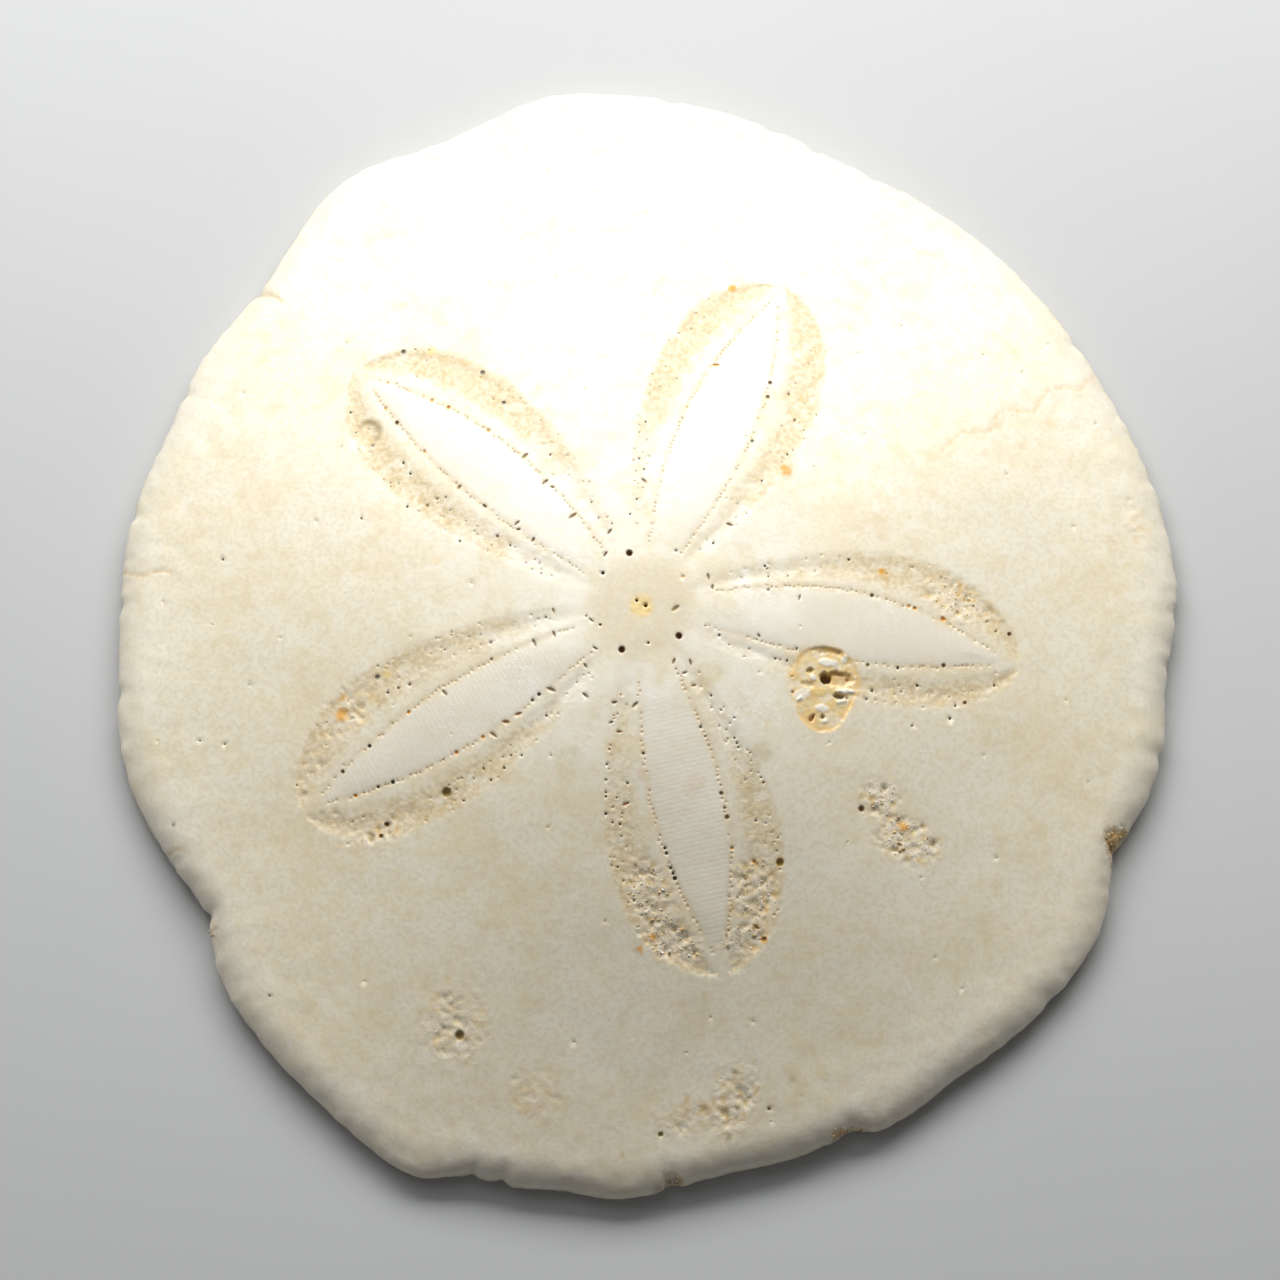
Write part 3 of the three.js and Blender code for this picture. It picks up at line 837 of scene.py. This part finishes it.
def add_rough_patches(skin):
    for cx, cy, half_x, half_y, turn, strength in ROUGH:
        share = ellipse_share(skin.x, skin.y, cx, cy, half_x, half_y, turn)
        near = share < 1.6
        share[near] += 0.28 * field(skin.x[near], skin.y[near], 1.4, 4)
        skin.rough = np.maximum(skin.rough, strength * (1 - smooth(0.55, 1.1, share)))
    worn = skin.rough > 0.01
    x, y, rough = skin.x[worn], skin.y[worn], skin.rough[worn]
    ridge = np.maximum(crests(x, y, 1.2, 7), 0.8 * crests(x, y, 0.7, 8))
    lumps = facets(x, y, 0.7, 1)
    dug = smooth(0.0, 0.5, field(x, y, 1.5, 5)) * (1 - ridge)
    skin.relief[worn] += rough * (0.2 * ridge + 0.08 * lumps - 0.16 - 0.32 * dug)
    warm = field(x, y, 1.2, 6)
    layer = np.zeros(len(skin.x))
    # Painted shade: khaki and olive are laid in the dug hollows between the crests, where shade falls.
    for amount, colour in (
            (0.45, TAN), (0.6 * dug, KHAKI), (0.6 * dug * smooth(0.1, 0.4, -warm), OLIVE),
            (0.8 * smooth(0.0, 0.3, warm), YELLOW), (0.8 * smooth(0.25, 0.45, warm), OCHRE),
            (0.7 * ridge ** 0.8, CHALK)):
        layer[worn] = rough * amount
        skin.colour(layer, colour)


# Sediment packed into the chips of the rim: middle, radius, colour and strength.
CHIP_FILLS = (
    (58.8, -26.4, 1.9, OCHRE, 0.8), (57.7, -26.4, 0.7, UMBER, 0.8), (59.2, -27.6, 0.6, ORANGE, 0.8),
    (59.6, -25.0, 0.8, YELLOW, 0.8), (-53.1, -37.3, 0.8, RUST, 0.85), (24.9, -62.6, 1.7, OCHRE, 0.8),
    (26.3, -62.3, 1.2, YELLOW, 0.7), (4.0, -67.9, 1.0, UMBER, 0.6), (2.2, -68.6, 0.7, BROWN, 0.5),
)

# A round dent with a dark ring, in the band of the upper left petal.
DENT_X, DENT_Y, DENT_RING, DENT_DEPTH = -33.9, 24.4, 1.5, 0.3


def add_stains_and_highlights(skin):
    for cx, cy, radius, colour, strength in STAINS_AND_LIP_HIGHLIGHTS + CHIP_FILLS:
        away = np.hypot(skin.x - cx, skin.y - cy)
        near = away < radius * 2.5
        away[near] += 0.45 * radius * field(skin.x[near], skin.y[near], radius * 0.9, 9)
        skin.colour(strength * (1 - smooth(radius * 0.5, radius * 1.15, away)), colour)
    centre = np.hypot(skin.x, skin.y)
    skin.colour(0.85 * (1 - smooth(1.2, 1.75, centre + 0.3 * field(skin.x, skin.y, 1.0, 10))), YELLOW)
    from_dent = np.hypot(skin.x - DENT_X, skin.y - DENT_Y)
    skin.colour(0.5 * bump(np.abs(from_dent - DENT_RING), 0.35) * smooth(-2, 1, skin.x - DENT_X), OLIVE)
    skin.relief -= DENT_DEPTH * (1 - smooth(0.9, 1.9, from_dent))


def add_cracks(skin):
    for points, half_width, depth in CRACKS:
        away = to_line(points, skin.x, skin.y)
        near = away < 2
        away[near] += 0.1 * field(skin.x[near], skin.y[near], 0.7, 12)
        skin.relief -= depth * (1 - smooth(half_width * 0.4, half_width * 1.8, away))
        skin.colour(0.5 * (1 - smooth(half_width * 0.5, half_width * 1.7, away)), TAN)
        skin.colour(0.16 * bump(away, 0.9), TAN)


def scar_layers(x, y, share, inside):
    """The tones of the scar's crust, each with how thickly it lies."""
    warm = field(x, y, 1.1, 15)
    return (
        (0.85 * inside, SCAR_CREAM), (0.7 * inside * smooth(0.05, 0.4, warm), GOLD),
        (0.7 * inside * smooth(0.1, 0.4, field(x, y, 0.6, 16)), YELLOW),
        (0.4 * inside * smooth(0.1, 0.4, -warm), CHALK),
        (0.85 * bump(share - 0.92, 0.09) * smooth(-0.6, 0.0, warm), GOLD),
    )


def add_scar(skin):
    share = scar_share(skin.x, skin.y)
    near = share < 1.4
    x, y = skin.x[near], skin.y[near]
    share = share[near] + 0.07 * field(x, y, 1.5, 13) + 0.04 * field(x, y, 0.5, 17)
    inside = 1 - smooth(0.88, 1.0, share)
    depth = inside * (SCAR_FLOOR - 0.04 * field(x, y, 0.8, 5))
    layer = np.zeros(len(skin.x))
    for amount, colour in scar_layers(x, y, share, inside):
        layer[near] = amount
        skin.colour(layer, colour)
    for marks, side in ((SCAR_HOLES_AND_SHADE, 1), (SCAR_RIDGES, -SCAR_RIDGE_SHARE)):
        for mark in marks:
            amount = 1 - smooth(0.75, 1.15, to_lip(mark, x, y) + 0.3 * field(x, y, 0.6, 18))
            depth += side * mark.depth * amount
            layer[near] = mark.strength * amount
            skin.colour(layer, mark.colour)
    skin.relief[near] = skin.relief[near] * (1 - inside) - depth
    skin.rough[near] = np.maximum(skin.rough[near], 0.3 * inside)
    skin.band[near] *= 1 - inside
    skin.core[near] *= 1 - inside


def add_pores(skin, pores):
    for pore in pores:
        reach = pore.radius * 2 + pore.length / 2
        near = np.flatnonzero((np.abs(skin.x - pore.x) < reach) & (np.abs(skin.y - pore.y) < reach))
        share = to_lip(pore, skin.x[near], skin.y[near])
        skin.relief[near] -= pore.depth * (1 - smooth(0.5, 1.2, share))
        mask = np.zeros(len(skin.x))
        mask[near] = pore.strength * (1 - smooth(0.85, 1.3, share))
        skin.colour(mask, pore.colour)


def add_body(skin):
    """Gentle unevenness of the whole back, the small wear of the rim, and a painted highlight along the
    rim.
    """
    x, y = skin.x, skin.y
    reach = np.hypot(x, y)
    skin.relief += 0.16 * field(x, y, 22, 20) + 0.035 * field(x, y, 5, 22)
    patches = np.clip(0.5 + 0.9 * field(x, y, 3.0, 25, 5), 0, 1)
    skin.colour(0.85 * patches * smooth(5, 8, reach) * (1 - smooth(15, 30, reach)), CHALK)
    skin.colour(0.5 * (1 - smooth(4.5, 7.5, reach)), BAND_GREY)
    inset = edge_radius(np.arctan2(y, x)) - reach
    toward_rim = 1 - smooth(0, 22, inset)
    skin.relief += toward_rim * 0.07 * field(x, y, 2.2, 23)
    skin.relief += (1 - smooth(0.5, 3.5, inset)) * 0.08 * field(x, y, 1.5, 24)
    # Painted highlight: a paler band along the rounded rim, where it catches the light.
    skin.colour(0.35 * (1 - smooth(0.5, 7, inset)), RIM_HIGHLIGHT)
    # The mask of the painted highlights of the polishing scratches.
    for cx, cy, radius, strength in SCUFF_GLINTS:
        away = np.hypot(x - cx, y - cy)
        skin.scuff = np.maximum(skin.scuff, strength * (1 - smooth(radius * 0.4, radius, away)))


def make_back(pores):
    """Returns the back's flat points, its real points and its skin."""
    flat = back_points(pores)
    x, y, roll = roll_in(*flat, RIM_ROUND_TOP, RIM_ARC_TOP)
    skin = Skin(x, y)
    add_body(skin)
    add_petals(skin)
    add_rough_patches(skin)
    add_cracks(skin)
    add_stains_and_highlights(skin)
    add_scar(skin)
    add_pores(skin, pores)
    height = dome_height(x, y)
    base = RIM_EQUATOR + (height - RIM_EQUATOR) * np.sqrt(1 - np.sin(roll) ** RIM_BLEND)
    out = skin.relief * np.sin(roll) / np.maximum(np.hypot(x, y), 1)
    z = base + skin.relief * np.cos(roll)
    return flat, np.stack([x * (1 + out), y * (1 + out), z], 1), skin


def make_under():
    flat = under_points()
    x, y, roll = roll_in(*flat, RIM_ROUND_UNDER, RIM_ARC_UNDER)
    return flat, np.stack([x, y, under_height(x, y, roll)], 1)


def rim_line():
    """The line of points that the back and the under side share."""
    count = int(2 * math.pi * RIM_RADII.mean() / STEP_RIM)
    angle = np.arange(count) / count * 2 * math.pi
    reach = edge_radius(angle)
    return angle, np.stack([reach * np.cos(angle), reach * np.sin(angle),
                            np.full(count, RIM_EQUATOR)], 1)


def triangles(flat, angle, rounding, arc):
    """Delaunay triangles over the flat disc. The last points are those of the rim line."""
    reach = unrolled_edge(angle, rounding, arc)
    x = np.concatenate([flat[0], reach * np.cos(angle)])
    y = np.concatenate([flat[1], reach * np.sin(angle)])
    ring = list(range(len(flat[0]), len(x)))
    points = [Vector(p) for p in zip(x.tolist(), y.tolist())]
    result = delaunay_2d_cdt(points, [], [ring], 1, 1e-6, False)
    if len(result[0]) != len(points):
        raise ValueError("the triangulation merged or added points")
    faces = np.array(result[2])
    mid_x, mid_y = x[faces].mean(1), y[faces].mean(1)
    spans_a_bite = (faces >= len(flat[0])).all(1) & ~inside_edge(mid_x, mid_y, rounding, arc, 0)
    return faces[~spans_a_bite]


# ---- The mesh ----


def set_attribute(mesh, name, kind, key, values):
    layer = mesh.attributes.new(name, kind, "POINT")
    layer.data.foreach_set(key, np.ascontiguousarray(values, dtype=np.float32).ravel())


def add_object(name, data):
    """Makes an object of the data and puts it in the scene."""
    made = bpy.data.objects.new(name, data)
    bpy.context.collection.objects.link(made)
    return made


def smooth_mesh(name, points, faces):
    """A smooth mesh from points in millimetres about the apex."""
    mesh = bpy.data.meshes.new(name)
    mesh.from_pydata(((points + (APEX[0], APEX[1], 0)) * MM).tolist(), [], faces)
    mesh.update()
    mesh.polygons.foreach_set("use_smooth", np.ones(len(mesh.polygons), bool))
    return mesh


def make_shell(back_flat, back, skin):
    under_flat, under = make_under()
    angle, rim = rim_line()
    back_faces = triangles(back_flat, angle, RIM_ROUND_TOP, RIM_ARC_TOP)
    under_faces = triangles(under_flat, angle, RIM_ROUND_UNDER, RIM_ARC_UNDER)
    n_back, n_rim, n_under = len(back), len(rim), len(under)
    is_rim = under_faces >= n_under
    under_faces = np.where(is_rim, under_faces - n_under + n_back, under_faces + n_back + n_rim)
    faces = np.concatenate([back_faces, under_faces[:, ::-1]])
    mesh = smooth_mesh("sand_dollar", np.concatenate([back, rim, under]), faces.tolist())

    def whole(values):
        rest = np.zeros((n_rim + n_under,) + values.shape[1:])
        return np.concatenate([values, rest])

    for name in ("band", "core", "rough", "scuff", "along", "cloud"):
        set_attribute(mesh, name, "FLOAT", "value", whole(getattr(skin, name)))
    is_under = np.concatenate([np.zeros(n_back), np.full(n_rim, 0.5), np.ones(n_under)])
    set_attribute(mesh, "under", "FLOAT", "value", is_under)
    set_attribute(mesh, "paint", "FLOAT_COLOR", "color", whole(skin.paint))
    return add_object("sand_dollar", mesh)


# ---- Sediment grains ----

GRAIN_COUNT = 1000
GRAIN_SIZE, GRAIN_LEAST, GRAIN_MOST = 0.14, 0.07, 0.34
GRAIN_WEAR = 0.72          # how worn the skin is where loose grains lie
GRAIN_SUNK = 0.6           # how far a grain is sunk in, as a share of its size
GRAIN_CORNERS = ((1, 0, 0), (0, 1, 0), (-1, 0, 0), (0, -1, 0), (0, 0, 1), (0, 0, -1))
GRAIN_FACES = ((0, 1, 4), (1, 2, 4), (2, 3, 4), (3, 0, 4), (1, 0, 5), (2, 1, 5), (3, 2, 5), (0, 3, 5))
GRAIN_TONES = (CHALK, TAN, YELLOW, OCHRE, ORANGE, UMBER)
WORN_SHARES = (0.3, 0.28, 0.24, 0.1, 0.05, 0.03)
FILL_SHARES = (0.36, 0.2, 0.24, 0.12, 0.04, 0.04)


def turned_corners(rng, size):
    """One crystal: a dented octahedron turned at random."""
    stretch = size * rng.uniform(0.6, 1.4, (6, 1))
    turn, _ = np.linalg.qr(rng.normal(size=(3, 3)))
    return np.array(GRAIN_CORNERS) * stretch @ turn


def make_grains(points, skin):
    """Half buried crystals in the chips of the rim and the most worn patches."""
    rng = np.random.default_rng(SEED + 3)
    x, y = skin.x, skin.y
    fill = np.zeros(len(x))
    for cx, cy, radius, _, strength in CHIP_FILLS:
        fill = np.maximum(fill, strength * (np.hypot(x - cx, y - cy) < radius * 1.1))
    weight = np.maximum(0.4 * skin.rough ** 2 * (skin.rough > GRAIN_WEAR), fill)
    chosen = rng.choice(len(x), GRAIN_COUNT, False, weight / weight.sum())
    corners, faces, tones = [], [], []
    for i in chosen:
        size = float(np.clip(rng.lognormal(math.log(GRAIN_SIZE), 0.35), GRAIN_LEAST, GRAIN_MOST))
        shares = FILL_SHARES if fill[i] > 0 else WORN_SHARES
        colour = GRAIN_TONES[rng.choice(len(GRAIN_TONES), p=shares)]
        place = points[i] + (*rng.normal(0, 0.08, 2), -GRAIN_SUNK * size)
        faces += [[6 * len(corners) + corner for corner in face] for face in GRAIN_FACES]
        corners.append(place + turned_corners(rng, size))
        tones += [(*colour, 1.0)] * 6
    mesh = smooth_mesh("sediment_grains", np.concatenate(corners), faces)
    set_attribute(mesh, "paint", "FLOAT_COLOR", "color", np.array(tones))
    return add_object("sediment_grains", mesh)


# ---- Materials ----


class Graph:
    """Short words for building a material out of nodes."""

    def __init__(self, name):
        self.material = bpy.data.materials.new(name)
        self.material.use_nodes = True
        self.tree = self.material.node_tree
        self.shader = self.tree.nodes["Principled BSDF"]
        self.place = self.node("ShaderNodeTexCoord").outputs["Object"]

    def node(self, kind, **settings):
        made = self.tree.nodes.new(kind)
        for name, value in settings.items():
            setattr(made, name, value)
        return made

    def put(self, value, socket):
        if isinstance(value, bpy.types.NodeSocket):
            self.tree.links.new(value, socket)
        elif isinstance(value, tuple) and len(value) == 3:
            socket.default_value = (*value, 1.0)
        else:
            socket.default_value = value

    def calc(self, kind, *values):
        made = self.node("ShaderNodeMath", operation=kind)
        for index, value in enumerate(values):
            self.put(value, made.inputs[index])
        return made.outputs[0]

    def times(self, a, b):
        return self.calc("MULTIPLY", a, b)

    def plus(self, a, b):
        return self.calc("ADD", a, b)

    def larger(self, a, b):
        return self.calc("MAXIMUM", a, b)

    def mix(self, amount, a, b):
        made = self.node("ShaderNodeMix", data_type="RGBA")
        self.put(amount, made.inputs["Factor"])
        self.put(a, made.inputs[6])
        self.put(b, made.inputs[7])
        return made.outputs[2]

    def mask(self, name):
        return self.node("ShaderNodeAttribute", attribute_name=name).outputs["Fac"]

    def span(self, value, low, high, to_low=0.0, to_high=1.0):
        made = self.node("ShaderNodeMapRange", interpolation_type="SMOOTHSTEP")
        for index, item in enumerate((value, low, high, to_low, to_high)):
            self.put(item, made.inputs[index])
        return made.outputs[0]

    def noise(self, size, detail=3.0, place=None):
        """Cloudy noise with blobs about `size` millimetres across."""
        made = self.node("ShaderNodeTexNoise")
        made.inputs["Scale"].default_value = 1 / (size * MM)
        made.inputs["Detail"].default_value = detail
        self.put(place or self.place, made.inputs["Vector"])
        return made.outputs["Fac"]

    def strokes(self, turn, length, width, low, high):
        """Short straight scratches in one direction."""
        mapping = self.node("ShaderNodeMapping", vector_type="TEXTURE")
        self.put(self.place, mapping.inputs["Vector"])
        mapping.inputs["Rotation"].default_value = (0, 0, math.radians(turn))
        mapping.inputs["Scale"].default_value = (length / width, 1, 1)
        return self.span(self.noise(width, 0.0, mapping.outputs[0]), low, high)

    def bump(self, height):
        """Turns a height in millimetres into a normal."""
        made = self.node("ShaderNodeBump")
        made.inputs["Distance"].default_value = MM
        self.put(height, made.inputs["Height"])
        return made.outputs["Normal"]


BODY_LIGHT = tone(243, 237, 220)
BODY_WARM = tone(238, 226, 196)
BODY_SPECK = tone(222, 202, 160)
BODY_FLECK = tone(224, 210, 180)
BAND_LIGHT = tone(235, 222, 192)
BAND_DARK = tone(217, 197, 156)
CORE_WHITE = tone(242, 236, 223)
UNDER_TONE = tone(224, 210, 180)
SCUFF_GLINT_WHITE = tone(254, 252, 246)


class Grain(NamedTuple):
    """The noises that colour and relief share."""
    fine: bpy.types.NodeSocket
    mottle: bpy.types.NodeSocket


def calcite_colour(graph, grain):
    """Cream skin with faint ochre clouds, then bands, cores, under side and painted marks."""
    g = graph
    clouds = g.span(g.plus(g.times(g.mask("cloud"), 0.3), grain.mottle), 0.2, 0.9)
    colour = g.mix(clouds, BODY_LIGHT, BODY_WARM)
    specks = g.times(g.span(grain.mottle, 0.55, 0.72), g.span(g.mask("cloud"), -0.3, 0.3))
    colour = g.mix(g.times(specks, 0.25), colour, BODY_SPECK)
    colour = g.mix(g.span(grain.fine, 0.4, 0.7, 0.0, 0.45), colour, BODY_FLECK)
    band = g.mix(g.span(grain.fine, 0.35, 0.66), BAND_LIGHT, BAND_DARK)
    patches = g.times(g.mask("band"), g.span(grain.mottle, 0.3, 0.52, 0.25, 1.0))
    colour = g.mix(patches, colour, band)
    colour = g.mix(g.times(g.mask("core"), 0.65), colour, CORE_WHITE)
    under = g.mix(g.span(grain.fine, 0.35, 0.6), BAND_DARK, UNDER_TONE)
    colour = g.mix(g.times(g.mask("under"), 0.8), colour, under)
    paint = g.node("ShaderNodeAttribute", attribute_name="paint")
    patchy = g.times(paint.outputs["Alpha"], g.span(grain.fine, 0.2, 0.45, 0.6, 1.0))
    return g.mix(patchy, colour, paint.outputs["Color"])


def scuff_marks(graph):
    """Painted highlights: fine bright strokes in two directions, standing in for the glints of polishing
    scratches, only where their mask is.
    """
    g = graph
    marks = g.larger(g.strokes(-22, 2.4, 0.2, 0.64, 0.7), g.strokes(58, 1.4, 0.23, 0.7, 0.75))
    return g.times(marks, g.mask("scuff"))


def calcite_relief(graph, grain):
    """Height in millimetres: grain where the skin is worn, and faint lines across the cores."""
    g = graph
    worn = g.larger(g.times(g.mask("band"), 0.6), g.mask("rough"))
    worn = g.larger(worn, g.times(g.mask("under"), 0.8))
    height = g.times(grain.fine, g.plus(g.times(worn, 0.09), 0.03))
    lines = g.calc("SINE", g.times(g.mask("along"), 2 * math.pi / ROW_PITCH))
    lines = g.times(g.times(lines, 0.0025), g.mask("core"))
    return g.plus(height, lines)


def make_calcite():
    g = Graph("calcite")
    shader = g.shader
    grain = Grain(g.noise(0.6, 4), g.noise(1.9, 3))
    scuffs = scuff_marks(g)
    # Painted highlight: near-white strokes stand in for the glints of the polishing scratches.
    colour = g.mix(scuffs, calcite_colour(g, grain), SCUFF_GLINT_WHITE)
    g.put(colour, shader.inputs["Base Color"])
    worn = g.larger(g.mask("rough"), g.mask("under"))
    worn = g.plus(worn, g.times(g.mask("band"), 0.5))
    roughness = g.span(g.plus(worn, grain.mottle), 0.3, 1.5, 0.32, 0.68)
    g.put(roughness, shader.inputs["Roughness"])
    g.put(g.bump(calcite_relief(g, grain)), shader.inputs["Normal"])
    return g.material


def make_crystal():
    """Sediment and calcite crystals, each in its own tone."""
    g = Graph("sediment")
    paint = g.node("ShaderNodeAttribute", attribute_name="paint").outputs["Color"]
    paler = g.span(g.noise(0.3, 2), 0.4, 0.6, 0.0, 0.3)
    g.put(g.mix(paler, paint, BODY_LIGHT), g.shader.inputs["Base Color"])
    g.shader.inputs["Roughness"].default_value = 0.5
    return g.material


# ---- Stage, light and camera ----

CAMERA_DISTANCE = 600.0
CAMERA_ELEVATION = 76.0
CAMERA_LENS = 135.0
CAMERA_AIM = (-0.1, 0.6)       # from the apex, on the surface the test lies on
FLOOR_HALF = 1.5               # metres


def add_floor():
    mesh = bpy.data.meshes.new("floor")
    corners = [(x * FLOOR_HALF, y * FLOOR_HALF, 0) for x, y in ((-1, -1), (1, -1), (1, 1), (-1, 1))]
    mesh.from_pydata(corners, [], [(0, 1, 2, 3)])
    floor = add_object("floor", mesh)
    g = Graph("floor_paper")
    tint = g.mix(g.noise(60), tone(196, 198, 202), tone(202, 204, 207))
    g.put(tint, g.shader.inputs["Base Color"])
    g.shader.inputs["Roughness"].default_value = 0.9
    mesh.materials.append(g.material)


def add_light(name, place, size, power, colour=(1, 1, 1)):
    """A soft light panel that points at the middle of the object."""
    light = bpy.data.lights.new(name, "AREA")
    light.shape = "RECTANGLE"
    light.size, light.size_y = size
    light.energy, light.color = power, colour
    lamp = add_object(name, light)
    lamp.location = place
    lamp.rotation_mode = "QUATERNION"
    lamp.rotation_quaternion = (-Vector(place)).to_track_quat("-Z", "Y")


def add_lights():
    add_light("key", (0.0, 0.26, 0.235), (0.5, 0.16), 1.95, (1.0, 0.985, 0.94))
    add_light("top", (-0.2, 0.25, 0.5), (0.4, 0.4), 0.5)
    add_light("fill", (0.3, -0.5, 0.5), (0.6, 0.6), 0.03)
    world = bpy.data.worlds.new("studio")
    world.use_nodes = True
    world.node_tree.nodes["Background"].inputs["Color"].default_value = (1, 1, 1, 1)
    world.node_tree.nodes["Background"].inputs["Strength"].default_value = 0.1
    bpy.context.scene.world = world


def add_camera():
    camera = bpy.data.cameras.new("camera")
    camera.lens = CAMERA_LENS
    camera.sensor_width = 36
    rig = add_object("camera", camera)
    lean = math.radians(CAMERA_ELEVATION)
    back = Vector((0, -math.cos(lean), math.sin(lean)))
    aim = Vector((APEX[0] + CAMERA_AIM[0], APEX[1] + CAMERA_AIM[1], 0))
    rig.location = (aim + back * CAMERA_DISTANCE) * MM
    rig.rotation_mode = "QUATERNION"
    rig.rotation_quaternion = (-back).to_track_quat("-Z", "Y")
    bpy.context.scene.camera = rig


# ---- Build ----

add_camera()
back_flat, back, skin = make_back(all_pores())
shell = make_shell(back_flat, back, skin)
shell.data.materials.append(make_calcite())
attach(shell, "root")
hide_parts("shell")

grains = make_grains(back, skin)
grains.data.materials.append(make_crystal())
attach(grains, "root")

add_floor()
add_lights()
bpy.context.scene.view_settings.view_transform = "Standard"
